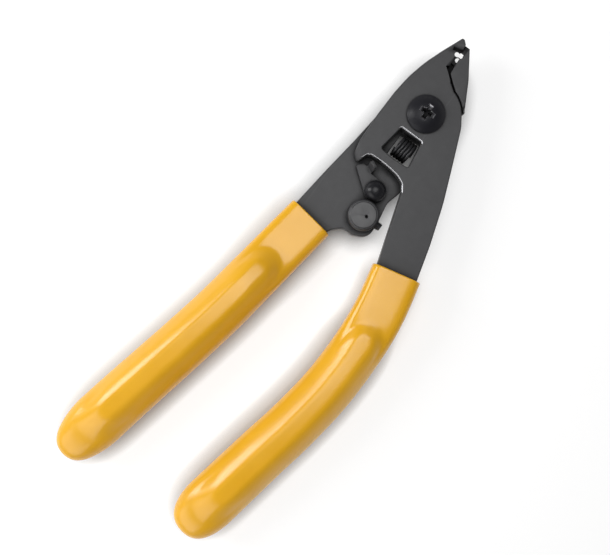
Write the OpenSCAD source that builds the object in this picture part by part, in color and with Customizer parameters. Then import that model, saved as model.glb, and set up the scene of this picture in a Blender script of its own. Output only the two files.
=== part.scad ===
// Fibre stripper: two crossing steel levers on one pivot screw, with a return spring, a lock lever
// and a set screw that stops the handles. Lengths are in millimetres, angles in degrees.
// The origin is on the pivot axis at the underside of the pivot nut, which is the plane the tool
// lies on. +Y points to the jaws and +Z to the head of the screw.
// The front lever is drawn where the lock lever holds it: a little short of fully closed.

/* [Plates] */
// Thickness of each lever plate
plate_t = 3; // [2.6:0.1:3.4]
// Running gap between the two plates, and under the lock lever
run_gap = 0.05; // [0.03:0.01:0.1]

/* [Travel] */
// Turn of the front lever from the locked pose to closed jaws
close_angle = 3.2; // [2.6:0.1:3.4]
// Turn of the front lever from the locked pose to open jaws
open_angle = 8.3; // [7.5:0.1:9]

/* [Pivot] */
// Diameter of the pivot screw's shank
shank_d = 4.8; // [4.4:0.1:5.4]
// Radial clearance of the shank in the plates
pivot_clear = 0.05; // [0.03:0.01:0.08]
// Diameter of the screw's truss head
head_d = 9.3; // [8.6:0.1:10]
// Height of the screw's truss head
head_h = 2.3; // [1.8:0.1:2.8]
// Width of the cross recess over its wings
recess_w = 4; // [3.2:0.1:4.4]
// Width of one wing of the cross recess
recess_slot = 1; // [0.8:0.1:1.2]
// Depth of the cross recess
recess_depth = 1.5; // [1:0.1:1.8]
// Width of the pivot nut across its flats
nut_af = 8; // [7:0.5:9]
// Height of the pivot nut, which lifts the plates off the table
nut_h = 3.2; // [2.6:0.1:3.6]

/* [Jaws] */
// Diameter of the stripping hole that the two jaws close to
hole_d = 1.2; // [0.8:0.1:1.4]
// Distance of the stripping hole from the pivot
hole_reach = 16.3; // [16:0.1:16.6]
// Distance of the small guide notch from the pivot
notch_reach = 12.7; // [12.4:0.1:13]
// Thickness of the front jaw's tip where it laps over the rear one
tip_lap_t = 1.2; // [0.9:0.1:1.5]
// Radius of the front plate's hub where the rear jaw steps round it
hub_r = 8.75; // [8.5:0.05:8.9]
// Gap between the hub of one plate and the jaw of the other
lap_gap = 0.3; // [0.25:0.05:0.5]
// Depth of the guide groove beside the stripping hole
groove_depth = 0.8; // [0.4:0.1:1]
// Distance from the pivot where the jaws begin to thin out behind
thin_from = 12.5; // [12:0.5:13.5]

/* [Spring] */
// Distance from the pivot to the near edge of the spring window
window_near = 6.05; // [5.9:0.05:6.4]
// Height of the spring window
window_h = 6.9; // [6.4:0.1:7]
// Width of the spring window at its near edge
window_w = 6.1; // [5.6:0.1:6.3]
// Lean of the spring window's side edges
window_lean = 8.5; // [6:0.5:10]
// Outer diameter of the return spring
spring_d = 5.7; // [5:0.1:5.8]
// Wire diameter of the return spring
wire_d = 0.8; // [0.6:0.05:0.9]
// Number of turns of the return spring
spring_turns = 5; // [4:1:6]

/* [Lock] */
// Distance of the lock rivet to the right of the pivot axis
rivet_x = 1.2; // [1.1:0.05:1.3]
// Distance of the lock rivet below the pivot axis
rivet_drop = 21.9; // [21.8:0.05:22]
// Diameter of the rivet's shank
rivet_d = 2.6; // [2.2:0.1:3]
// Radial clearance of the lock lever on its rivet
rivet_clear = 0.05; // [0.03:0.01:0.08]
// Diameter of the rivet's domed head
dome_d = 5.2; // [4.8:0.1:5.4]
// Height of the rivet's domed head
dome_h = 1.9; // [1.5:0.1:2.2]
// Diameter of the lock lever's round eye
lever_eye_d = 5.4; // [5:0.1:5.6]
// Thickness of the lock lever's sheet
lever_t = 1; // [0.8:0.1:1.1]
// Height of the thumb tab above the lever's sheet
tab_h = 3.6; // [3:0.1:4.5]
// Thickness of the spring washer under the rivet's head
washer_t = 0.4; // [0.3:0.05:0.5]

/* [Stop] */
// Diameter of the round boss that holds the stop screw
boss_d = 7.7; // [7.3:0.1:7.8]
// Height of the boss above the rear plate
boss_h = 3; // [2.9:0.1:3.4]
// Diameter of the boss's spigot in the rear plate
spigot_d = 4; // [3:0.2:5]
// Diameter of the stop screw
stop_d = 2.1; // [1.6:0.1:2.2]
// Reach of the stop screw past the boss
stop_reach = 1.3; // [1.1:0.05:1.35]

/* [Grips] */
// Distance from the pivot to the end of the rear grip, along Y
handle_reach = 119.1; // [112:1:126]
// Half thickness of the grips over their ridges
grip_half_t = 6.2; // [5.8:0.1:6.2]
// Half thickness of the grips beside and beyond their ridges
hand_half_t = 4.6; // [4.2:0.1:5]
// Half thickness of the grips at their mouths
mouth_half_t = 3.3; // [3:0.1:3.6]
// Half width of the grips at their mouths
grip_half_w = 6.2; // [6:0.1:6.4]
// Growth of the grips' half width from mouth to end
grip_flare = 0.8; // [0.5:0.1:1]
// Half width of the steel tangs inside the grips
tang_half_w = 4.2; // [3.6:0.1:4.6]
// Clearance between a tang and its socket in the grip
socket_clear = 0.04; // [0.02:0.01:0.1]

/* [Hidden] */
$fn = 48;

// Heights of the faces, from the table up
rear_z = nut_h;
mid_z = rear_z + plate_t;
front_z = mid_z + run_gap;
top_z = front_z + plate_t;
tip_z = top_z - tip_lap_t;
cut = 1;
// Directions of the rear jaw's and the front jaw's cutting line, seen from the pivot
rear_axis = 95.6;
front_axis = rear_axis + close_angle;
rivet = [rivet_x, -rivet_drop];
boss = [2.35, -28.5];
stop_z = front_z + plate_t / 2;
edge_t = 0.25;
pocket_depth = 0.6;
// Top edge of the lobe's slope, and its direction
lobe = [-7.3, -17.1];
lobe_turn = -42.6;
recess_turn = 3;
socket_depth = 1.2;
steel = [0.3, 0.3, 0.31];
bright_steel = [0.42, 0.42, 0.44];
dark_steel = [0.15, 0.15, 0.16];
vinyl = [0.94, 0.7, 0.22];

// ---- Plane geometry ----

function unit(v) = v / norm(v);
function polar(r, a) = r * [cos(a), sin(a)];
// Point p of a jaw, given across and along its cutting line, in the tool's own axes
function along(axis, p) = [p[0] * sin(axis) + p[1] * cos(axis), p[1] * sin(axis) - p[0] * cos(axis)];
// Arc that rounds corner b between its neighbours a and c with radius r
function corner(a, b, c, r, n = 4) = r == 0 ? [b] :
    let (u = unit(a - b), w = unit(c - b), half = acos(u * w) / 2,
        o = b + unit(u + w) * r / sin(half),
        p0 = b + u * r / tan(half) - o, p1 = b + w * r / tan(half) - o,
        from = atan2(p0[1], p0[0]), turn = (atan2(p1[1], p1[0]) - from + 540) % 360 - 180)
    [for (i = [0:n]) o + polar(r, from + turn * i / n)];
// Outline through points [x, y, radius], each corner rounded by its radius
function rounded(pts) = let (last = len(pts) - 1, xy = [for (p = pts) [p[0], p[1]]])
    [for (i = [0:last]) each corner(xy[i == 0 ? last : i - 1], xy[i], xy[i == last ? 0 : i + 1],
        len(pts[i]) > 2 ? pts[i][2] : 0)];
// Arc about the pivot, from one direction to another
function hub_arc(r, from, to, n = 8) = [for (i = [0:n]) polar(r, from + (to - from) * i / n)];

// Smooth curve through points, as Catmull-Rom spans of n steps
function knot(pts, i) = pts[max(0, min(len(pts) - 1, i))];
function span_point(a, b, c, d, t) = 0.5 * (2 * b + (c - a) * t
    + (2 * a - 5 * b + 4 * c - d) * t * t + (3 * b - a - 3 * c + d) * t * t * t);
function smooth(pts, n) = [for (i = [0:len(pts) - 2], k = [0:n - 1])
    span_point(knot(pts, i - 1), pts[i], pts[i + 1], knot(pts, i + 2), k / n), pts[len(pts) - 1]];

// ---- Handles: a centre line each, which carries the tang and the grip ----

// Points are [x, share of the way from the mouths to the rear grip's end]
mouth_reach = 35;
function placed(pts) = [for (p = pts) [p[0], -mouth_reach - p[1] * (handle_reach - mouth_reach)]];
front_line = smooth(placed([[17.2, 0], [19.4, 0.1189], [20.6, 0.2497], [20.5, 0.3924], [19, 0.5351],
    [17.1, 0.654], [15.3, 0.7729], [13.5, 0.8918], [12.3, 0.975]]), 3);
rear_line = smooth(placed([[-7.7, 0.0143], [-9, 0.1189], [-10.5, 0.2497], [-12.3, 0.3924],
    [-14.6, 0.5351], [-16.7, 0.654], [-18.8, 0.7729], [-20.7, 0.8918], [-22.2, 1]]), 3);
tang_rings = 17;
function heading(line, i) = unit(knot(line, i + 1) - knot(line, i - 1));
// Point beside the centre line, w to the left of someone who walks from the jaws to the end
function beside(line, i, w) = line[i] + w * [-heading(line, i)[1], heading(line, i)[0]];
// The tang narrows from the plate's full width at the mouth to its own width
function tang_w(i) = tang_half_w + (grip_half_w - 1 - tang_half_w) * max(0, 1 - i / 3);
// Tang edge on one side, grown by c, from the mouth to the end
function tang_edge(line, side, c) = [for (i = [0:tang_rings]) beside(line, i, side * (tang_w(i) + c))];
function reversed(v) = [for (i = [len(v) - 1:-1:0]) v[i]];

module tang_socket(line, z) {
    mouth = beside(line, 0, 0) - 4 * heading(line, 0);
    wide = (tang_w(0) + socket_clear) * [-heading(line, 0)[1], heading(line, 0)[0]];
    tip = line[tang_rings] + socket_clear * heading(line, tang_rings);
    translate([0, 0, z - socket_clear])
        linear_extrude(plate_t + 2 * socket_clear)
            polygon(concat([mouth + wide], tang_edge(line, 1, socket_clear), [tip],
                reversed(tang_edge(line, -1, socket_clear)), [mouth - wide]));
}

// Grip section: flat at the mouth, then a broad base that carries a ridge for the palm
grip_sides = 24;
function ease(t) = let (u = max(0, min(1, t))) u * u * (3 - 2 * u);
// Half thickness at u across the grip, from -1 to 1, and t points of the centre line along it
function grip_height(u, t) = let (
        hand = ease((t - 1.1) / 1.3),
        base = hand_half_t * sqrt(1 - pow(u, 2.3)),
        mouth = mouth_half_t * pow(1 - pow(u, 6), 0.36),
        nose = 0.35 * (1 - sqrt(max(0, 1 - pow(u / 0.75, 2)))),
        ridge = ease((t - 1.25 - nose) / 0.45) * ease((7 - nose - t) / 0.45),
        crest = (grip_half_t - hand_half_t) * ridge * ease((0.95 - u) / 0.6))
    mouth + (base - mouth) * hand + crest;
module grip_shell(line, mouth_z) {
    last = len(line) - 1;
    dome = 4;
    hand_z = mid_z + run_gap / 2;
    lowest = hand_z - grip_half_t;
    highest = hand_z + grip_half_t;
    function shrink(i) = i <= last - dome ? 1 : sqrt(max(0.03, 1 - pow((i - last + dome) / dome, 2)));
    rings = [for (i = [0:last]) let (
            z = mouth_z + (hand_z - mouth_z) * ease((i / 3 - 1.1) / 1.3),
            half_w = (grip_half_w + grip_flare * i / last) * shrink(i))
        [for (k = [0:grip_sides - 1]) let (a = 360 * (k + 0.5) / grip_sides,
                u = pow(abs(cos(a)), 0.75),
                side = beside(line, i, half_w * u * sign(cos(a))),
                rise = grip_height(u, i / 3) * pow(shrink(i), 0.9))
            [side[0], side[1], max(lowest, min(highest, z + rise * sign(sin(a))))]]];
    points = [for (ring = rings) each ring];
    sides = [for (i = [0:last - 1], k = [0:grip_sides - 1]) let (j = (k + 1) % grip_sides,
            a = i * grip_sides + k, b = i * grip_sides + j)
        each [[a, a + grip_sides, b], [b, a + grip_sides, b + grip_sides]]];
    mouth = [[for (k = [0:grip_sides - 1]) k]];
    end = [[for (k = [grip_sides - 1:-1:0]) last * grip_sides + k]];
    polyhedron(points, concat(sides, mouth, end), convexity = 4);
}

// ---- Plates ----

// Jaw outlines, outer edge only, from the hub to the tip
front_jaw_edge = [[-9.3, 0, 12], [-8.8, 5, 20], [-7.65, 10, 30], [-5.85, 15, 30], [-4.4, 18.5, 8],
    [-3.7, 20.1, 0.5]];
rear_jaw_edge = [[7.3, 5.85], [6.4, 7.6, 20], [3.75, 12.35, 30], [-0.85, 19.5, 0.2]];

module plate(z, height, outline) {
    translate([0, 0, z])
        linear_extrude(height)
            polygon(outline);
}

// Half of the stripping hole, open on the side of the other jaw. A cone behind it leaves a thin
// cutting edge at the face.
module half_hole(axis, side) {
    centre = along(axis, [0, hole_reach]);
    relief = top_z - edge_t - mid_z;
    translate([centre[0], centre[1], -cut]) {
        cylinder(d = hole_d, h = top_z + 2 * cut);
        translate([0, 0, mid_z + cut])
            cylinder(d1 = hole_d + 1.2 * relief, d2 = hole_d, h = relief);
        rotate(axis - 90)
            translate([side > 0 ? 0 : -2, -hole_d / 2, mid_z + cut])
                cube([2, hole_d, plate_t + 2 * cut]);
    }
}

// Slope that thins both jaws behind their tips, up to the parting plane of the plates
module thinned_tip() {
    rise = mid_z - rear_z;
    translate([-15, 0, rear_z])
        rotate([90, 0, 90])
            linear_extrude(30)
                polygon([[thin_from, 0], [thin_from + 1.5 * rise, rise], [40, rise], [40, -cut],
                    [thin_from, -cut]]);
}

// Window that holds the return spring, cut in each plate
module spring_window() {
    bottom = window_near + window_h;
    spread = window_h * tan(window_lean);
    half = window_w / 2;
    translate([0.2, 0, -cut])
        linear_extrude(top_z + 2 * cut)
            polygon(rounded([[-half, -window_near, 0.4], [half, -window_near, 0.4],
                [half + spread, -bottom, 0.6], [0, -bottom - 0.3, 10], [-half - spread, -bottom, 0.6]]));
}

module front_plate() {
    jaw = [for (p = [[0.05, 20.3], [0.85, 19.3], [0.63, 17.1], [-0.25, 15.9], [-0.28, notch_reach + 0.45],
        [-1.1, notch_reach], [-0.36, notch_reach - 0.75], [1.75, 9.7]]) along(front_axis, p)];
    right_edge = [[8.9, 2.5, 8], [12.15, -5, 60], [16.35, -15, 60], [19.75, -25, 60],
        tang_edge(front_line, 1, 0)[0]];
    left_edge = [[6.45, -18.75, 1.2], [5.2, -17, 1.5], [3.2, -16.1, 6], [-0.5, -15.65, 20],
        [-4.6, -15.75, 0.5], [-5.55, -16.3, 0.5], [-6.4, -18.5, 0.2], [-6.9, -18.75, 0.5],
        [-8.5, -17.4, 2], [-9.15, -14.5, 8], [-9.45, -7, 30]];
    plate(front_z, plate_t, rounded(concat(front_jaw_edge, jaw,
        hub_arc(hub_r, front_axis - 24, 36), right_edge, tang_edge(front_line, 1, 0),
        reversed(tang_edge(front_line, -1, 0)), [[9.4, -27.8, 30]], left_edge)));
}

// Rear half of the front jaw, behind the front plate's own jaw
module front_jaw_back() {
    inner = [for (p = [[-0.45, 19.9], [-0.45, 17.2], [-1.95, 17.1], [-1.95, 12],
        [-2.35, 10.2]]) along(front_axis, p)];
    plate(rear_z, front_z - rear_z + 0.01, concat(
        [[-8.85, 4.9], [-7.65, 10], [-5.85, 15], [-4.4, 18.5], [-3.9, 19.7]], inner,
        hub_arc(hub_r + lap_gap, front_axis + 22, 146)));
}

module front_blade() {
    color(steel)
        difference() {
            union() {
                front_plate();
                front_jaw_back();
            }
            translate([0, 0, -cut])
                cylinder(d = shank_d + 2 * pivot_clear, h = top_z + 2 * cut);
            spring_window();
            half_hole(front_axis, 1);
            // the tip laps over the rear jaw, so its underside is cut away there
            translate([0, 0, rear_z - cut])
                linear_extrude(tip_z + run_gap - rear_z + cut)
                    polygon([for (p = [[-0.45, 21], [-0.45, 16.6], [2, 16.6], [2, 21]])
                        along(front_axis, p)]);
            thinned_tip();
            // slope on the lobe that the lock lever swings past
            translate([lobe[0], lobe[1], top_z])
                rotate(lobe_turn)
                    rotate([58, 0, 0])
                        translate([-3, -4, 0])
                            cube([6, 4, 3]);
            // groove that guides the fibre into the hole
            translate([-2.9, hole_reach + 0.9, top_z])
                rotate(16)
                    cube([2.6, 1, 2 * groove_depth], center = true);
        }
}

module rear_plate() {
    jaw = [for (p = [[-0.35, 19.6], [-0.35, 16.95], [-1.5, 16.9], [-1.5, 12.2], [-1.95, 10]])
        along(rear_axis, p)];
    left_edge = [[-9.1, 0.5, 4], [-9.4, -5, 30], [-10.4, -15, 60], [-11.7, -25, 60],
        tang_edge(rear_line, -1, 0)[0]];
    inner_edge = [[-1.7, -35.6, 1], [0.3, -33.7, 2], [3, -33.8, 2], [6.7, -32, 3], [6.35, -27.4, 6],
        [5.4, -22.5, 4], [6.3, -18.9, 1], [7.6, -12, 6], [9, -4, 6]];
    plate(rear_z, plate_t, rounded(concat(jaw, hub_arc(hub_r, rear_axis + 15, 168), left_edge,
        tang_edge(rear_line, -1, 0), reversed(tang_edge(rear_line, 1, 0)), inner_edge, rear_jaw_edge)));
}

// Front half of the rear jaw, raised to the front plate's face
module rear_jaw_front() {
    inner = [for (p = [[1.95, 9.7], [0.1, 11.6], [0.1, 16.1], [0.8, 17], [1.05, 19]])
        along(rear_axis, p)];
    plate(mid_z - 0.01, top_z - mid_z + 0.01, concat([[7.38, 5.7], [6.4, 7.6], [3.75, 12.35]],
        reversed(inner), reversed(hub_arc(hub_r + lap_gap, 38, rear_axis - 22))));
}

// Tip of the rear jaw, raised as far as the front jaw's lapping tip
module rear_jaw_tip() {
    plate(mid_z - 0.01, tip_z - mid_z + 0.01, concat([[-0.85, 19.5]],
        [for (p = [[-0.35, 19.6], [-0.35, 16.3], [1.6, 16.3], [1.6, 17.9]]) along(rear_axis, p)]));
}

module rear_blade() {
    color(steel)
        difference() {
            union() {
                rear_plate();
                rear_jaw_front();
                rear_jaw_tip();
            }
            translate([0, 0, -cut])
                cylinder(d = shank_d + 2 * pivot_clear, h = top_z + 2 * cut);
            rotate(open_angle)
                spring_window();
            half_hole(rear_axis, -1);
            translate([rivet[0], rivet[1], -cut])
                cylinder(d = rivet_d, h = top_z);
            translate([boss[0], boss[1], -cut])
                cylinder(d = spigot_d, h = top_z);
            thinned_tip();
            // pocket below the slot between the jaws
            rotate(rear_axis - 90)
                translate([-1.6, notch_reach - 0.4, mid_z - pocket_depth])
                    cube([1.6, 2.6, pocket_depth + cut]);
        }
}

// ---- Grips ----

module front_grip() {
    color(vinyl)
        difference() {
            grip_shell(front_line, front_z + plate_t / 2);
            tang_socket(front_line, front_z);
        }
}

module rear_grip() {
    color(vinyl)
        difference() {
            grip_shell(rear_line, rear_z + plate_t / 2);
            tang_socket(rear_line, rear_z);
        }
}

// ---- Pivot ----

// Domed head: a slice of a ball, h high over a disc of diameter d, on a short straight rim
module domed_head(d, h, rim) {
    rise = h - rim;
    ball_r = (d * d / 4 + rise * rise) / (2 * rise);
    steps = 8;
    edge = asin(d / 2 / ball_r);
    rotate_extrude()
        polygon(concat([[0, 0], [d / 2, 0]], [for (i = [0:steps]) let (a = edge * (1 - i / steps))
            [ball_r * sin(a), rim + ball_r * (cos(a) - cos(edge))]]));
}

module pivot_screw() {
    color(dark_steel)
        difference() {
            union() {
                cylinder(d = shank_d, h = top_z + run_gap);
                translate([0, 0, top_z + run_gap])
                    domed_head(head_d, head_h, 0.4);
            }
            for (turn = [0, 90])
                rotate(turn + recess_turn)
                    translate([-recess_w / 2, -recess_slot / 2, top_z + run_gap + head_h - recess_depth])
                        cube([recess_w, recess_slot, recess_depth + cut]);
        }
}

module pivot_nut() {
    color(dark_steel)
        difference() {
            cylinder(d = nut_af / cos(30), h = nut_h, $fn = 6);
            translate([0, 0, -cut])
                cylinder(d = shank_d, h = nut_h + 2 * cut);
        }
}

// ---- Return spring, between the rear window's left edge and the front window's right edge ----

module return_spring() {
    centre_y = -window_near - window_h / 2;
    lean = (-centre_y - window_near) * tan(window_lean) + window_w / 2;
    left = (0.2 - lean) * cos(open_angle) - centre_y * sin(open_angle);
    right = 0.2 + lean;
    coil_r = (spring_d - wire_d) / 2;
    inset = wire_d / 2 + 0.35;
    steps = spring_turns * 14;
    ring = 6;
    length = right - left - 2 * inset;
    points = [for (i = [0:steps]) let (a = 360 * spring_turns * i / steps,
            x = left + inset + length * i / steps)
        each [for (k = [0:ring - 1]) let (b = 360 * k / ring, r = coil_r + wire_d / 2 * cos(b))
            [x + wire_d / 2 * sin(b), centre_y + r * cos(a), mid_z + r * sin(a)]]];
    sides = [for (i = [0:steps - 1], k = [0:ring - 1]) let (j = (k + 1) % ring)
        each [[i * ring + k, i * ring + j, (i + 1) * ring + k],
            [i * ring + j, (i + 1) * ring + j, (i + 1) * ring + k]]];
    start = [[for (k = [ring - 1:-1:0]) k]];
    end = [[for (k = [0:ring - 1]) steps * ring + k]];
    color(bright_steel)
        polyhedron(points, concat(sides, start, end), convexity = 10);
}

// ---- Lock ----

lever_z = mid_z + run_gap;
lever_top = lever_z + lever_t;
washer_z = lever_top + run_gap;
dome_z = washer_z + washer_t + run_gap;

// Where a line from point p touches the lever's eye, on side 1 or -1
function eye_touch(p, side) = let (run = rivet - p, r = lever_eye_d / 2, off = asin(r / norm(run)))
    p + polar(sqrt(run * run - r * r), atan2(run[1], run[0]) + side * off);

module lock_lever() {
    tab_from = [-4.05, -18.1];
    tab_to = [-2.15, -19];
    tab_lean = 8;
    tab_t = 0.8 * lever_t;
    foot = 2 * tab_t * sin(tab_lean);
    run = norm(tab_to - tab_from);
    ear = tab_t * unit([tab_from[1] - tab_to[1], tab_to[0] - tab_from[0]]);
    low = [-6.15, -19.75];
    tab = rounded([[0, foot], [run, foot], [run - 0.2, tab_h + lever_t, 0.6],
        [-0.3, tab_h + lever_t, 0.6], [0, 2 * lever_t]]);
    color(bright_steel)
        difference() {
            union() {
                plate(lever_z, lever_t, concat(
                    rounded([tab_from, [-5.1, -18.05, 0.2], [-6.05, -19.1, 0.3], low,
                        eye_touch(low, -1)]),
                    [rivet, eye_touch(tab_to, 1), tab_to, tab_to + ear, tab_from + ear]));
                translate([rivet[0], rivet[1], lever_z])
                    cylinder(d = lever_eye_d, h = lever_t);
                // thumb tab, bent up from the lever's upper edge
                translate([tab_from[0], tab_from[1], lever_z])
                    rotate(atan2(tab_to[1] - tab_from[1], tab_to[0] - tab_from[0]))
                        rotate([90 - tab_lean, 0, 0])
                            translate([0, 0, -tab_t])
                                linear_extrude(tab_t)
                                    polygon(tab);
            }
            translate([rivet[0], rivet[1], lever_z - cut])
                cylinder(d = rivet_d + 2 * rivet_clear, h = tab_h + 3 * cut);
        }
}

module lock_rivet() {
    color(dark_steel)
        translate([rivet[0], rivet[1], 0]) {
            translate([0, 0, rear_z])
                cylinder(d = rivet_d, h = dome_z - rear_z);
            translate([0, 0, dome_z])
                domed_head(dome_d, dome_h, 0.3);
        }
}

module lock_washer() {
    color(bright_steel)
        translate([rivet[0], rivet[1], washer_z])
            difference() {
                cylinder(d = dome_d - 0.3, h = washer_t);
                translate([0, 0, -cut])
                    cylinder(d = rivet_d + 2 * rivet_clear, h = washer_t + 2 * cut);
            }
}

// ---- Closing stop ----

module stop_boss() {
    r = boss_d / 2;
    color(steel)
        difference() {
            translate([boss[0], boss[1], 0]) {
                translate([0, 0, rear_z])
                    cylinder(d = spigot_d, h = mid_z - rear_z);
                translate([0, 0, mid_z])
                    rotate_extrude()
                        polygon([[0, 0], [r, 0], [r, boss_h - 0.5], [r - 0.35, boss_h - 0.15],
                            [r - 0.6, boss_h - 0.15], [r - 0.75, boss_h], [0, boss_h]]);
            }
            // punch mark in the boss's face
            translate([boss[0] + 0.8, boss[1] + 0.1, top_z - 0.6])
                cylinder(d1 = 0.2, d2 = 0.9, h = 0.6);
            translate([boss[0] - r - cut, boss[1], stop_z])
                rotate([0, 90, 0])
                    cylinder(d = stop_d, h = boss_d + 2 * cut);
        }
}

module stop_screw() {
    length = boss_d - socket_depth + stop_reach;
    color(dark_steel)
        translate([boss[0] + boss_d / 2 + stop_reach - length, boss[1], stop_z])
            rotate([0, 90, 0])
                difference() {
                    cylinder(d = stop_d, h = length);
                    // hexagon socket for the setting key
                    translate([0, 0, -cut])
                        cylinder(d = stop_d / 2, h = cut + socket_depth, $fn = 6);
                }
}

front_blade();
rear_blade();
front_grip();
rear_grip();
pivot_screw();
pivot_nut();
return_spring();
lock_lever();
lock_rivet();
lock_washer();
stop_boss();
stop_screw();
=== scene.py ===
"""Looks of a fibre stripper: two crossing steel levers on a pivot screw, with dipped grips.

Lengths are typed in millimetres, and times MM they are in metres. Only the lamps' sizes and the
floor's are typed in metres. +Y points to the jaws, +X to the bowed handle and +Z to the screw's head.
"""

import math

import bmesh
import bpy
from mathutils import Matrix, Vector


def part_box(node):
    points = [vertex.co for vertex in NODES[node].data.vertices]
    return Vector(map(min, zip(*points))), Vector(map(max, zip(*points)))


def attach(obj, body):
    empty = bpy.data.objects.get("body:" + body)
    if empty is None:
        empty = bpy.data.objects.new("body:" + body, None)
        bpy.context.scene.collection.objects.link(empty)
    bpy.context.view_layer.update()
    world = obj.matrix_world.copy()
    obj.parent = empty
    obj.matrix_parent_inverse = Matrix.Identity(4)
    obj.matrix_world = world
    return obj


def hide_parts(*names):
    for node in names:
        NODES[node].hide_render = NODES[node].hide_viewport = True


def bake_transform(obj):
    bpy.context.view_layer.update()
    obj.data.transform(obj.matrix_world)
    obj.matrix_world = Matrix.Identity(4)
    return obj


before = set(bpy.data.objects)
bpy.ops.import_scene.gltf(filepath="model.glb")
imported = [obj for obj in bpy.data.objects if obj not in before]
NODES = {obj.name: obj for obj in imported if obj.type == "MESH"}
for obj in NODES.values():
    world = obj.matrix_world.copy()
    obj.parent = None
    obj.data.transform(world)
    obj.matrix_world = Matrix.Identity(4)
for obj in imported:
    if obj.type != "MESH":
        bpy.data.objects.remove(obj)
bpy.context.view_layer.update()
MM = 0.001
UP = Vector((0, 0, 1))

# Places on the stripper, seen from above
STRIPPING_HOLE = (-2.3, 16.3)
BOSS_CENTRE = (2.35, -28.5)

# How dark the painted shade in a crevice is, as a share of the tone, and how glossy black oxide is
CREVICE_SHADE = 0.12
OXIDE_GLOSS = 0.6


def tinted(tone, share):
    return tuple(share * t for t in tone)


# ---- Node materials ----


class Finish:
    """A procedural material, built from the object's own coordinates."""

    def __init__(self, name):
        self.material = bpy.data.materials.new(name)
        self.material.use_nodes = True
        self.tree = self.material.node_tree
        self.shader = self.tree.nodes["Principled BSDF"]
        self.place = self.add("ShaderNodeTexCoord").outputs["Object"]

    def add(self, kind, **settings):
        node = self.tree.nodes.new(kind)
        for key, value in settings.items():
            setattr(node, key, value)
        return node

    def fill(self, socket, value):
        if isinstance(value, bpy.types.NodeSocket):
            self.tree.links.new(value, socket)
        elif isinstance(value, tuple) and len(value) == 3 and socket.type == "RGBA":
            socket.default_value = (*value, 1)
        else:
            socket.default_value = value

    def set(self, **inputs):
        """Fills inputs of the shader, named with _ for a space."""
        for key, value in inputs.items():
            self.fill(self.shader.inputs[key.replace("_", " ")], value)

    def stretched(self, scale, turn=(0, 0, 0)):
        mapping = self.add("ShaderNodeMapping")
        self.fill(mapping.inputs["Vector"], self.place)
        mapping.inputs["Scale"].default_value = scale
        mapping.inputs["Rotation"].default_value = turn
        return mapping.outputs["Vector"]

    def noise(self, scale, detail=3.0, rough=0.5, where=None):
        node = self.add("ShaderNodeTexNoise")
        self.fill(node.inputs["Vector"], where or self.place)
        node.inputs["Scale"].default_value = scale
        node.inputs["Detail"].default_value = detail
        node.inputs["Roughness"].default_value = rough
        return node.outputs["Fac"]

    def spread(self, value, low, high, new_low, new_high):
        node = self.add("ShaderNodeMapRange")
        for socket, v in zip(node.inputs, (value, low, high, new_low, new_high)):
            self.fill(socket, v)
        return node.outputs["Result"]

    def maths(self, kind, a, b=0.0):
        node = self.add("ShaderNodeMath", operation=kind)
        self.fill(node.inputs[0], a)
        self.fill(node.inputs[1], b)
        return node.outputs[0]

    def mix(self, factor, a, b):
        node = self.add("ShaderNodeMix", data_type="RGBA")
        self.fill(node.inputs["Factor"], factor)
        self.fill(node.inputs[6], a)
        self.fill(node.inputs[7], b)
        return node.outputs[2]

    def bump(self, height, strength, depth, under=None):
        node = self.add("ShaderNodeBump")
        node.inputs["Strength"].default_value = strength
        node.inputs["Distance"].default_value = depth * MM
        self.fill(node.inputs["Height"], height)
        if under:
            self.fill(node.inputs["Normal"], under)
        return node.outputs["Normal"]

    def crevice(self, reach):
        """1 in corners and gaps narrower than the reach in mm, 0 on open faces."""
        node = self.add("ShaderNodeAmbientOcclusion", samples=8)
        node.inputs["Distance"].default_value = reach * MM
        return self.spread(node.outputs["AO"], 0.35, 0.9, 1.0, 0.0)

    def distance_from(self, point):
        """Distance in metres from the axis along Z through a point, given in millimetres."""
        parts = self.add("ShaderNodeSeparateXYZ")
        self.fill(parts.inputs[0], self.place)
        across = self.maths("SUBTRACT", parts.outputs["X"], point[0] * MM)
        up = self.maths("SUBTRACT", parts.outputs["Y"], point[1] * MM)
        squares = [self.maths("MULTIPLY", side, side) for side in (across, up)]
        return self.maths("SQRT", self.maths("ADD", *squares))


def oxide_steel(name, tone, shine, scratch_turn=0.0, grain=1.0, edge=0.35, metal=0.0, gap=2.4):
    """Black-oxide steel: mottled tone, fine blasted grain, a few fine scratches, painted shade in
    crevices.
    """
    f = Finish(name)
    cloud = f.noise(420, 4, 0.6)
    scratches = f.noise(900, 2, 0.7, f.stretched((1.0, 0.04, 1.0), (0, 0, scratch_turn)))
    line = f.spread(scratches, 0.66, 0.74, 0.0, 1.0)
    base = f.mix(f.spread(cloud, 0.35, 0.68, 0.0, 1.0), tinted(tone, 0.97), tinted(tone, 1.04))
    worn_and_shaded = f.mix(f.maths("MULTIPLY", line, 0.25), base, tinted(tone, 1.6))
    # Painted shade: crevices and gaps narrower than the reach are darkened to a small share of the tone
    painted_shade = f.crevice(gap)
    worn_and_shaded = f.mix(painted_shade, worn_and_shaded, tinted(tone, CREVICE_SHADE))
    satin = f.spread(f.noise(600, 3, 0.6), 0.3, 0.7, shine - 0.02, shine + 0.03)
    rough = f.maths("ADD", satin, f.maths("MULTIPLY", painted_shade, 0.35))
    blasted = f.bump(f.noise(5200, 2, 0.5), 0.22 * grain, 0.02)
    f.set(Specular_Tint=(edge, edge, edge))
    f.set(Base_Color=worn_and_shaded, Metallic=metal, Specular_IOR_Level=OXIDE_GLOSS, Roughness=rough,
        Normal=f.bump(line, 0.12, 0.01, blasted))
    return f.material


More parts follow.
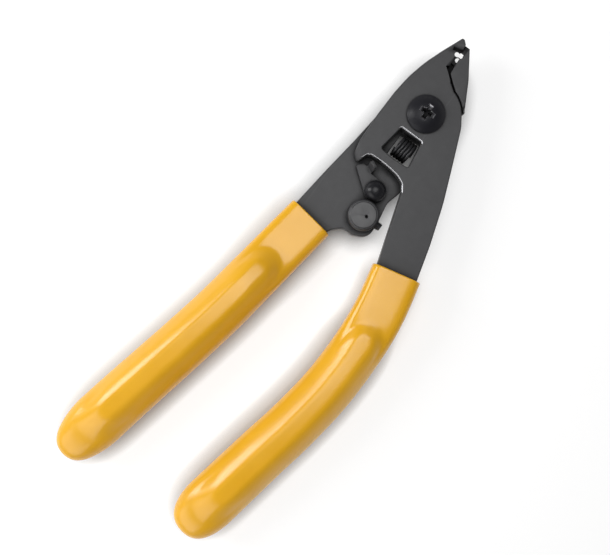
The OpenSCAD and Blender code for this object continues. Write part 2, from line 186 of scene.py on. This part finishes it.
def turned_steel(name, tone, centre):
    """Steel turned on a lathe: fine rings about a centre."""
    f = Finish(name)
    ring_pitch = 0.16 * MM
    rings = f.maths("SINE", f.maths("MULTIPLY", f.distance_from(centre), 2 * math.pi / ring_pitch))
    soft = f.noise(500, 3, 0.6)
    base = f.mix(f.spread(soft, 0.3, 0.7, 0.0, 1.0), tinted(tone, 0.85), tinted(tone, 1.15))
    # Painted shade: crevices are darkened to a small share of the tone
    base = f.mix(f.crevice(1.6), base, tinted(tone, CREVICE_SHADE))
    rough = f.spread(soft, 0.3, 0.7, 0.36, 0.46)
    f.set(Base_Color=base, Specular_IOR_Level=OXIDE_GLOSS, Roughness=rough,
        Normal=f.bump(rings, 0.25, 0.012))
    return f.material


def dipped_vinyl(name):
    """Yellow dipped vinyl: glossy, a little wavy, with a trace of dust in its gloss."""
    f = Finish(name)
    cloud = f.noise(90, 3, 0.55)
    base = f.mix(f.spread(cloud, 0.3, 0.7, 0.0, 1.0), (0.73, 0.372, 0.014), (0.77, 0.4, 0.022))
    wave = f.bump(f.noise(160, 2, 0.4), 0.1, 0.25)
    peel = f.bump(f.noise(2600, 2, 0.5), 0.04, 0.02, wave)
    rough = f.spread(f.noise(700, 4, 0.6), 0.35, 0.7, 0.22, 0.26)
    f.set(Base_Color=base, Roughness=rough, Normal=peel, IOR=1.49)
    return f.material


plate_finish = oxide_steel("oxide_plate", (0.05, 0.05, 0.052), 0.42, 0.4)
# Painted highlight: a lighter, shinier copy of the plate finish for the rounded edges where highlights
# fall
highlit_edge_finish = oxide_steel("painted_highlight_edge", (0.27, 0.27, 0.28), 0.26, 0.4, edge=0.12, metal=1.0)
lever_finish = oxide_steel("oxide_lock_lever", (0.046, 0.046, 0.048), 0.38, -0.6)
head_finish = oxide_steel("oxide_screw_head", (0.011, 0.011, 0.014), 0.4, 1.1, 0.7)
recess_finish = oxide_steel("worn_recess", (0.5, 0.5, 0.52), 0.3, 0.5, 0.7, metal=1.0, gap=0.9)
dome_finish = oxide_steel("oxide_rivet_dome", (0.014, 0.014, 0.016), 0.27, 0.2, 0.3)
set_screw_finish = oxide_steel("oxide_set_screw", (0.02, 0.02, 0.022), 0.4, 0.0, 0.6)
wire_finish = oxide_steel("spring_wire", (0.03, 0.03, 0.032), 0.26, 1.57, 0.2, metal=0.3)
boss_finish = turned_steel("turned_boss", (0.021, 0.021, 0.023), BOSS_CENTRE)
vinyl_finish = dipped_vinyl("dipped_vinyl")


# ---- Meshes ----

# Angles in degrees past which an edge is rounded, a small edge is rounded, and shading breaks
OUTER_ANGLE = 28
FINE_ANGLE = 50
CREASE_ANGLE = 35


def new_piece(name, mesh, finish, body, stands_for):
    piece = bpy.data.objects.new(name, mesh)
    bpy.context.scene.collection.objects.link(piece)
    if not mesh.materials:
        mesh.materials.append(finish)
    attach(piece, body)
    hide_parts(stands_for)
    return piece


def applied(piece):
    """Swaps a piece's mesh for what its modifiers make of it."""
    graph = bpy.context.evaluated_depsgraph_get()
    graph.update()
    done = bpy.data.meshes.new_from_object(piece.evaluated_get(graph))
    piece.modifiers.clear()
    piece.data = done
    return piece


def with_even_shading(piece, crease=CREASE_ANGLE):
    """Smooth shading that follows the large faces, so that roundings shade cleanly."""
    piece.data.shade_smooth()
    piece.data.set_sharp_from_angle(angle=math.radians(crease))
    weighted = piece.modifiers.new("weighted", "WEIGHTED_NORMAL")
    weighted.keep_sharp = True
    return applied(piece)


def rounded_edges(mesh, edges, radius, segments=3, finish_index=-1):
    """Rounds edges; finish_index picks the finish of the rounding, -1 that of its neighbours."""
    bmesh.ops.bevel(mesh, geom=edges, offset=radius * MM, offset_type="OFFSET", segments=segments,
        profile=0.5, affect="EDGES", clamp_overlap=False, material=finish_index)


def sharp_edges(mesh, angle=OUTER_ANGLE):
    """Edges that stand out by more than an angle in degrees."""
    least = math.radians(angle)
    return [e for e in mesh.edges if e.is_manifold and e.calc_face_angle_signed() > least]


def edge_middle(edge):
    return (edge.verts[0].co + edge.verts[1].co) / 2 / MM


def at_stripping_hole(p):
    """True for the cutting edges about the stripping hole, which stay sharp."""
    return math.hypot(p.x - STRIPPING_HOLE[0], p.y - STRIPPING_HOLE[1]) < 2.1


def eased_mesh(node, radius, fine_radius=0.0, is_fine=None, is_rubbed=None):
    """A merged copy of a CAD node's mesh whose outer edges are rounded, some of them finer.

    is_fine says which edges are small, and is_rubbed which roundings take the second finish, a lighter
    one that paints a highlight.
    """
    mesh = bmesh.new()
    mesh.from_mesh(NODES[node].data)
    bmesh.ops.remove_doubles(mesh, verts=mesh.verts, dist=0.002 * MM)
    bmesh.ops.dissolve_limit(mesh, angle_limit=math.radians(0.4), verts=mesh.verts, edges=mesh.edges)
    if is_fine:
        rounded_edges(mesh, [e for e in sharp_edges(mesh) if not is_fine(edge_middle(e))], radius,
            finish_index=1 if is_rubbed else -1)
        fine = [e for e in sharp_edges(mesh, FINE_ANGLE) if is_fine(edge_middle(e))]
        rounded_edges(mesh, [e for e in fine if not at_stripping_hole(edge_middle(e))], fine_radius, 2)
    else:
        rounded_edges(mesh, sharp_edges(mesh), radius)
    bmesh.ops.triangulate(mesh, faces=[f for f in mesh.faces if len(f.verts) > 4])
    # Roundings away from the highlit edges go back to the first finish, so the painted highlight stays
    # on those edges
    for face in mesh.faces:
        if face.material_index and not is_rubbed(face.calc_center_median() / MM):
            face.material_index = 0
    result = bpy.data.meshes.new(node + "_eased")
    mesh.to_mesh(result)
    mesh.free()
    return result


def eased_piece(node, name, radius, finish, body, record_slot, highlit_edge_finish=None, **fine):
    piece = new_piece(name, eased_mesh(node, radius, **fine), finish, body, node)
    if highlit_edge_finish:
        piece.data.materials.append(highlit_edge_finish)
    return with_even_shading(piece)


def lofted(name, rings):
    """A closed mesh through rings of points, with its normals turned outwards."""
    count = len(rings[0])
    verts = [p for ring in rings for p in ring]
    faces = []
    for i in range(len(rings) - 1):
        for k in range(count):
            j = (k + 1) % count
            faces.append((i * count + k, (i + 1) * count + k, (i + 1) * count + j, i * count + j))
    faces.append(tuple(range(count)))
    faces.append(tuple(reversed(range((len(rings) - 1) * count, len(rings) * count))))
    mesh = bpy.data.meshes.new(name)
    mesh.from_pydata([Vector(v) * MM for v in verts], [], faces)
    fixed = bmesh.new()
    fixed.from_mesh(mesh)
    bmesh.ops.recalc_face_normals(fixed, faces=fixed.faces)
    fixed.to_mesh(mesh)
    fixed.free()
    mesh.shade_smooth()
    return mesh


# ---- Steel plates and lock lever ----

PLATE_ROUNDING = 0.34
JAW_ROUNDING = 0.07


def among_jaws(p):
    """True for the small edges about the stripping hole, the slot and the lapping tips."""
    return p.y > 9.3 and -4.2 < p.x < 2.6 + 0.35 * (16 - p.y)


def where_highlights_fall(p):
    """True along the edges by the lock lever and by the spring, whose roundings take a painted
    highlight.
    """
    by_lever = -18.6 < p.y < -14.2 and -6.2 < p.x < 7.2
    by_spring = -7 < p.y < -5 and abs(p.x) < 3.6
    return p.z > 6.5 and (by_lever or by_spring)


# The front plate's edge roundings by the lock lever and the spring take the painted highlight finish
eased_piece("front_blade", "front_lever_plate", PLATE_ROUNDING, plate_finish, "front_lever",
    "black_oxide_steel", highlit_edge_finish=highlit_edge_finish, fine_radius=JAW_ROUNDING, is_fine=among_jaws,
    is_rubbed=where_highlights_fall)
eased_piece("rear_blade", "rear_lever_plate", PLATE_ROUNDING, plate_finish, "rear_lever",
    "black_oxide_steel", fine_radius=JAW_ROUNDING, is_fine=among_jaws)
eased_piece("lock_lever", "lock_lever_sheet", 0.12, lever_finish, "lock_arm", "black_oxide_steel")


# ---- Dipped grips ----

# Middle lines of the grips from mouth to nose, through points about 10 mm apart
STATION = 10
FRONT_LINE = [(17.2, -35), (19.4, -45), (20.6, -56), (20.5, -68), (19, -80), (17.1, -90),
    (15.3, -100), (13.5, -110), (12.3, -117)]
REAR_LINE = [(-7.7, -36.2), (-9, -45), (-10.5, -56), (-12.3, -68), (-14.6, -80), (-16.7, -90),
    (-18.8, -100), (-20.7, -110), (-22.2, -119.1)]
# Height of both hand parts' middles, half their greatest thickness, and where they begin
HAND_Z = 6.225
HAND_HALF_T = 6.19
HAND_FROM, HAND_OVER = 1.1, 1.3
# Rounding of the mouth's rim
MOUTH_RIM = 0.55


def line_point(line, t):
    """Point of the smooth line through a list of points; t counts the points."""
    i = min(int(t), len(line) - 2)
    f = t - i
    a, b, c, d = (Vector(line[max(0, min(len(line) - 1, i + k))]) for k in (-1, 0, 1, 2))
    squared = (2 * a - 5 * b + 4 * c - d) * f**2
    cubed = (3 * b - a - 3 * c + d) * f**3
    return 0.5 * (2 * b + (c - a) * f + squared + cubed)


def ease(t):
    """Runs smoothly from 0 to 1 as t does, and stays there."""
    t = max(0.0, min(1.0, t))
    return t * t * (3 - 2 * t)


def grip_height(u, t):
    """Half thickness of a grip at u, from -1 to 1 across it, t points along its line."""
    u = min(1.0, abs(u))
    hand = ease((t - HAND_FROM) / HAND_OVER)
    mouth = 3.3 * (1 - u**6) ** 0.36
    base = 4.6 * math.sqrt(1 - u**2.3)
    nose = 0.45 * (1 - math.sqrt(max(0, 1 - (u / 0.68) ** 2)))
    ridge = ease((t - 1.25 - nose) / 0.5) * ease((7.15 - nose - t) / 0.95)
    crest = 1.6 * ridge * ease((1.02 - u) / 0.85)
    return mouth + (base - mouth) * hand + crest


def grip_ring(line, t, mouth_z, shrink, inset=0.0, around=96):
    """Cross-section of a grip, t points along its line."""
    last = len(line) - 1
    centre = line_point(line, t)
    ahead = line_point(line, min(last, t + 0.02)) - line_point(line, max(0, t - 0.02))
    side = Vector((-ahead.y, ahead.x)).normalized()
    z = mouth_z + (HAND_Z - mouth_z) * ease((t - HAND_FROM) / HAND_OVER)
    half_w = (6.2 + 0.8 * t / last - inset) * shrink
    ring = []
    for k in range(around):
        a = 2 * math.pi * (k + 0.5) / around
        u = math.copysign(abs(math.cos(a)) ** 0.75, math.cos(a))
        rise = math.copysign(grip_height(u, t) * shrink**0.9 - inset, math.sin(a))
        above = z + rise - HAND_Z
        p = centre + side * (u * half_w)
        ring.append((p.x, p.y, HAND_Z + math.copysign(soft_limit(abs(above), HAND_HALF_T), above)))
    return ring


def soft_limit(value, limit, blend=0.25):
    """A value kept below a limit, with a short smooth bend before it."""
    start = limit - blend
    return value if value < start else start + blend * (1 - math.exp((start - value) / blend))


def build_grip(node, name, line, mouth_z, body):
    """A grip as one skin: the mouth's rounded rim, the long part and the domed nose."""
    last = len(line) - 1
    rim_to = 0.06
    dome_from = last - 4 / 3
    rim_rings, long_rings, dome_rings = 4, 110, 24
    rings = []
    for k in range(rim_rings + 1):
        a = math.pi / 2 * k / rim_rings
        t = MOUTH_RIM * (1 - math.cos(a)) / STATION
        rings.append(grip_ring(line, t, mouth_z, 1, MOUTH_RIM * (1 - math.sin(a))))
    for k in range(1, long_rings + 1):
        rings.append(grip_ring(line, rim_to + (dome_from - rim_to) * k / long_rings, mouth_z, 1))
    for k in range(1, dome_rings + 1):
        w = math.sin(math.pi / 2 * k / dome_rings)
        shrink = math.sqrt(max(0.0004, 1 - w * w))
        rings.append(grip_ring(line, dome_from + (last - dome_from) * w, mouth_z, shrink))
    new_piece(name, lofted(name, rings), vinyl_finish, body, node)


build_grip("front_grip", "front_dipped_grip", FRONT_LINE, 7.75, "front_lever")
build_grip("rear_grip", "rear_dipped_grip", REAR_LINE, 4.7, "rear_lever")


# ---- Return spring ----

SPRING_WIRE_R = 0.42
SPRING_TURNS = 5.0


def coil_group():
    """Node group for a wire coil along X; its inputs are named sizes in metres."""
    group = bpy.data.node_groups.new("wire_coil", "GeometryNodeTree")
    face = group.interface
    face.new_socket("Geometry", in_out="OUTPUT", socket_type="NodeSocketGeometry")
    for name, kind in (("Turns", "Float"), ("Coil Radius", "Float"), ("Wire Radius", "Float"),
            ("Length", "Float"), ("Start", "Vector"), ("Finish", "Material")):
        face.new_socket(name, in_out="INPUT", socket_type="NodeSocket" + kind)
    nodes, link = group.nodes, group.links.new
    given = nodes.new("NodeGroupInput").outputs
    spiral = nodes.new("GeometryNodeCurveSpiral")
    spiral.inputs["Resolution"].default_value = 40
    link(given["Turns"], spiral.inputs["Rotations"])
    link(given["Coil Radius"], spiral.inputs["Start Radius"])
    link(given["Coil Radius"], spiral.inputs["End Radius"])
    link(given["Length"], spiral.inputs["Height"])
    wire = nodes.new("GeometryNodeCurvePrimitiveCircle")
    wire.inputs["Resolution"].default_value = 14
    link(given["Wire Radius"], wire.inputs["Radius"])
    swept = nodes.new("GeometryNodeCurveToMesh")
    link(spiral.outputs["Curve"], swept.inputs["Curve"])
    link(wire.outputs["Curve"], swept.inputs["Profile Curve"])
    swept.inputs["Fill Caps"].default_value = True
    placed = nodes.new("GeometryNodeTransform")
    placed.inputs["Rotation"].default_value = (0, math.pi / 2, 0)
    link(swept.outputs["Mesh"], placed.inputs["Geometry"])
    link(given["Start"], placed.inputs["Translation"])
    finish = nodes.new("GeometryNodeSetMaterial")
    link(placed.outputs["Geometry"], finish.inputs["Geometry"])
    link(given["Finish"], finish.inputs["Material"])
    out = nodes.new("NodeGroupOutput")
    link(finish.outputs["Geometry"], out.inputs["Geometry"])
    return group


def grown(name, group, **inputs):
    """A mesh object made once by a node group, with its inputs set by their own identifiers."""
    piece = bpy.data.objects.new(name, bpy.data.meshes.new(name))
    bpy.context.scene.collection.objects.link(piece)
    nodes = piece.modifiers.new(name, "NODES")
    nodes.node_group = group
    sockets = {s.name: s.identifier for s in group.interface.items_tree if s.in_out == "INPUT"}
    for key, value in inputs.items():
        nodes[sockets[key.replace("_", " ")]] = value
    return applied(piece)


spring_low, spring_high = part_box("return_spring")
wire_r = SPRING_WIRE_R * MM
spring_start = Vector((spring_low.x + wire_r, (spring_low.y + spring_high.y) / 2,
    (spring_low.z + spring_high.z) / 2))
spring_length = spring_high.x - spring_low.x - 2 * wire_r
coil_tree = coil_group()
spring = grown("return_coil", coil_tree, Turns=SPRING_TURNS,
    Coil_Radius=(spring_high.y - spring_low.y) / 2 - wire_r, Wire_Radius=wire_r, Length=spring_length,
    Start=spring_start, Finish=wire_finish)
spring.data.shade_smooth()
spring.data.set_sharp_from_angle(angle=math.radians(60))
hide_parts("return_spring")
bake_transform(spring)


# ---- Fasteners ----

# Height of the pivot screw's head above the table, its radius, and its shank's
HEAD_FOOT = 9.3
HEAD_R = 4.65
SHANK_R = 2.4
# Radius at which a turned outline meets its axis, so that no face has a width of nothing
AXIS_R = 0.004


def turned_rings(profile, around=96):
    """Rings of a lathe shape about the Z axis, from a list of (radius, height)."""
    turns = [2 * math.pi * k / around for k in range(around)]
    return [[(radius * math.cos(a), radius * math.sin(a), z) for a in turns] for radius, z in profile]


def domed_profile(radius, foot, height, rim, steps=14):
    """Half outline of a domed head: a rounded rim, then a slice of a ball up to its middle."""
    rise = height - rim
    ball = (radius**2 + rise**2) / (2 * rise)
    edge = math.asin(radius / ball)
    rounding = [(radius - 0.18, foot), (radius - 0.05, foot + 0.05), (radius, foot + 0.18)]
    angles = [edge * (1 - k / steps) for k in range(steps + 1)]
    dome = [(max(AXIS_R, ball * math.sin(a)), foot + rim + ball * (math.cos(a) - math.cos(edge)))
        for a in angles]
    return rounding + dome


def cross_ring(reach, half, z, root):
    """Outline of a cross recess at one height; root rounds the corners between its wings."""
    quarter = [(reach, -half), (reach, half), (half + root, half), (half, half + root)]
    return [(x * math.cos(a) - y * math.sin(a), x * math.sin(a) + y * math.cos(a), z)
        for a in (0, math.pi / 2, math.pi, 3 * math.pi / 2) for x, y in quarter]


def build_pivot_screw():
    """The screw with its tapered cross recess, cut out of a turned body."""
    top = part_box("pivot_screw")[1].z / MM
    shank = [(AXIS_R, 0), (SHANK_R - 0.25, 0), (SHANK_R, 0.25), (SHANK_R, HEAD_FOOT)]
    body = shank + domed_profile(HEAD_R, HEAD_FOOT, top - HEAD_FOOT, 0.4)
    screw = new_piece("pivot_screw_body", lofted("pivot_screw_body", turned_rings(body)), head_finish,
        "rear_lever", "pivot_screw")
    # reach, half width, height and corner rounding of the recess, from its mouth down
    levels = [(2.5, 0.66, top + 0.4, 0.22), (2.05, 0.56, top - 0.1, 0.18), (1.55, 0.5, top - 0.9, 0.15),
        (1.2, 0.44, top - 1.7, 0.12), (0.6, 0.3, top - 2.2, 0.05)]
    cutter = bpy.data.objects.new("recess", lofted("recess", [cross_ring(*level) for level in levels]))
    cutter.data.transform(Matrix.Rotation(math.radians(3), 4, "Z"))
    bpy.context.scene.collection.objects.link(cutter)
    cut = screw.modifiers.new("recess", "BOOLEAN")
    cut.operation, cut.solver, cut.object = "DIFFERENCE", "EXACT", cutter
    applied(screw)
    bpy.data.objects.remove(cutter)
    mesh = bmesh.new()
    mesh.from_mesh(screw.data)
    bmesh.ops.remove_doubles(mesh, verts=mesh.verts, dist=0.004 * MM)
    rim = [e for e in sharp_edges(mesh, 40) if edge_middle(e).z > HEAD_FOOT + 1.2]
    rounded_edges(mesh, rim, 0.09, 2)
    for face in mesh.faces:
        middle = face.calc_center_median() / MM
        inside = middle.z > HEAD_FOOT + 0.5 and math.hypot(middle.x, middle.y) < 2.3
        if inside and face.normal.angle(UP) > math.radians(26):
            face.material_index = 1
    mesh.to_mesh(screw.data)
    mesh.free()
    screw.data.materials.append(recess_finish)
    with_even_shading(screw, 42)


build_pivot_screw()
eased_piece("pivot_nut", "pivot_nut_body", 0.2, head_finish, "rear_lever", "black_fasteners")
eased_piece("lock_rivet", "lock_rivet_body", 0.08, dome_finish, "rear_lever", "black_fasteners")
eased_piece("lock_washer", "lock_washer_ring", 0.06, wire_finish, "rear_lever", "spring_wire")
eased_piece("stop_boss", "stop_boss_body", 0.08, boss_finish, "rear_lever", "black_oxide_steel")


def build_stop_screw():
    """The set screw: its slim core and the ridge of its thread, wound round it."""
    low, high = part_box("stop_screw")
    middle = (low + high) / 2
    outer = (high.z - low.z) / 2
    ridge, pitch, lead_in = 0.13 * MM, 0.4 * MM, 0.3 * MM
    slim = 1 - 1.5 * ridge / outer
    slimming = Matrix.Diagonal((1, slim, slim, 1))
    core = eased_mesh("stop_screw", 0.12)
    core.transform(Matrix.Translation(middle) @ slimming @ Matrix.Translation(-middle))
    length = high.x - low.x - 2 * lead_in
    thread = grown("stop_thread", coil_tree, Turns=length / pitch, Coil_Radius=outer - ridge,
        Wire_Radius=ridge, Length=length, Start=Vector((low.x + lead_in, middle.y, middle.z)),
        Finish=set_screw_finish)
    mesh = bmesh.new()
    mesh.from_mesh(core)
    mesh.from_mesh(thread.data)
    joined = bpy.data.meshes.new("stop_screw_body")
    mesh.to_mesh(joined)
    mesh.free()
    bpy.data.objects.remove(thread)
    with_even_shading(new_piece("stop_screw_body", joined, set_screw_finish, "rear_lever", "stop_screw"))


build_stop_screw()


# ---- Floor, light and camera ----


def stage_floor():
    """White paper that glows, with a painted shadow where its glow fades under and beside the stripper.
    """
    mesh = bpy.data.meshes.new("floor")
    half = 2.0
    corners = [(-half, -half, 0), (half, -half, 0), (half, half, 0), (-half, half, 0)]
    mesh.from_pydata(corners, [], [(0, 1, 2, 3)])
    floor = bpy.data.objects.new("floor", mesh)
    bpy.context.scene.collection.objects.link(floor)
    paper = Finish("floor_paper")
    openness = paper.add("ShaderNodeAmbientOcclusion", samples=12)
    openness.inputs["Distance"].default_value = 6 * MM
    # Painted shadow: the glow fades with ambient occlusion under and close beside the stripper
    glow_with_painted_shadow = paper.maths("MULTIPLY", paper.maths("POWER", openness.outputs["AO"], 3.3), 0.57)
    paper.set(Base_Color=(0.5, 0.5, 0.5), Roughness=0.9, Emission_Color=(1, 1, 1),
        Emission_Strength=glow_with_painted_shadow)
    mesh.materials.append(paper.material)


def soft_light(name, place, target, size, energy):
    """A rectangular lamp at a place in mm, aimed at a target, with its size in metres."""
    data = bpy.data.lights.new(name, "AREA")
    data.shape = "RECTANGLE"
    data.size, data.size_y = size
    data.energy = energy
    lamp = bpy.data.objects.new(name, data)
    bpy.context.scene.collection.objects.link(lamp)
    lamp.location = Vector(place) * MM
    lamp.rotation_euler = (Vector(target) * MM - lamp.location).to_track_quat("-Z", "Y").to_euler()


def studio_world():
    """White all round, brighter low down than overhead."""
    world = bpy.data.worlds.new("studio")
    world.use_nodes = True
    nodes, link = world.node_tree.nodes, world.node_tree.links.new
    direction = nodes.new("ShaderNodeTexCoord").outputs["Generated"]
    height = nodes.new("ShaderNodeSeparateXYZ")
    link(direction, height.inputs[0])
    tent = nodes.new("ShaderNodeMapRange")
    tent.interpolation_type = "SMOOTHSTEP"
    link(height.outputs["Z"], tent.inputs["Value"])
    for key, value in {"From Min": 0.2, "From Max": 0.5, "To Min": 0.42, "To Max": 0.02}.items():
        tent.inputs[key].default_value = value
    link(tent.outputs["Result"], nodes["Background"].inputs["Strength"])
    nodes["Background"].inputs["Color"].default_value = (1, 1, 1, 1)
    return world


stage_floor()
soft_light("over_softbox", (-50, 30, 420), (-50, 30, 0), (0.3, 0.32), 1.25)
soft_light("left_softbox", (-330, -150, 200), (0, -50, 0), (0.14, 0.2), 0.8)
soft_light("near_strip", (-60, -320, 160), (0, 0, 0), (0.34, 0.14), 0.34)

scene = bpy.context.scene
scene.world = studio_world()
scene.view_settings.view_transform = "Standard"

camera_data = bpy.data.cameras.new("camera")
camera_data.sensor_width = 36
camera_data.lens = 36 * 650 / 610
camera_data.clip_start = 0.01
camera = bpy.data.objects.new("camera", camera_data)
scene.collection.objects.link(camera)
camera.location = Vector((-0.1, -49.1, 166.35)) * MM
camera.rotation_euler = (0, 0, math.radians(36.4))
scene.camera = camera
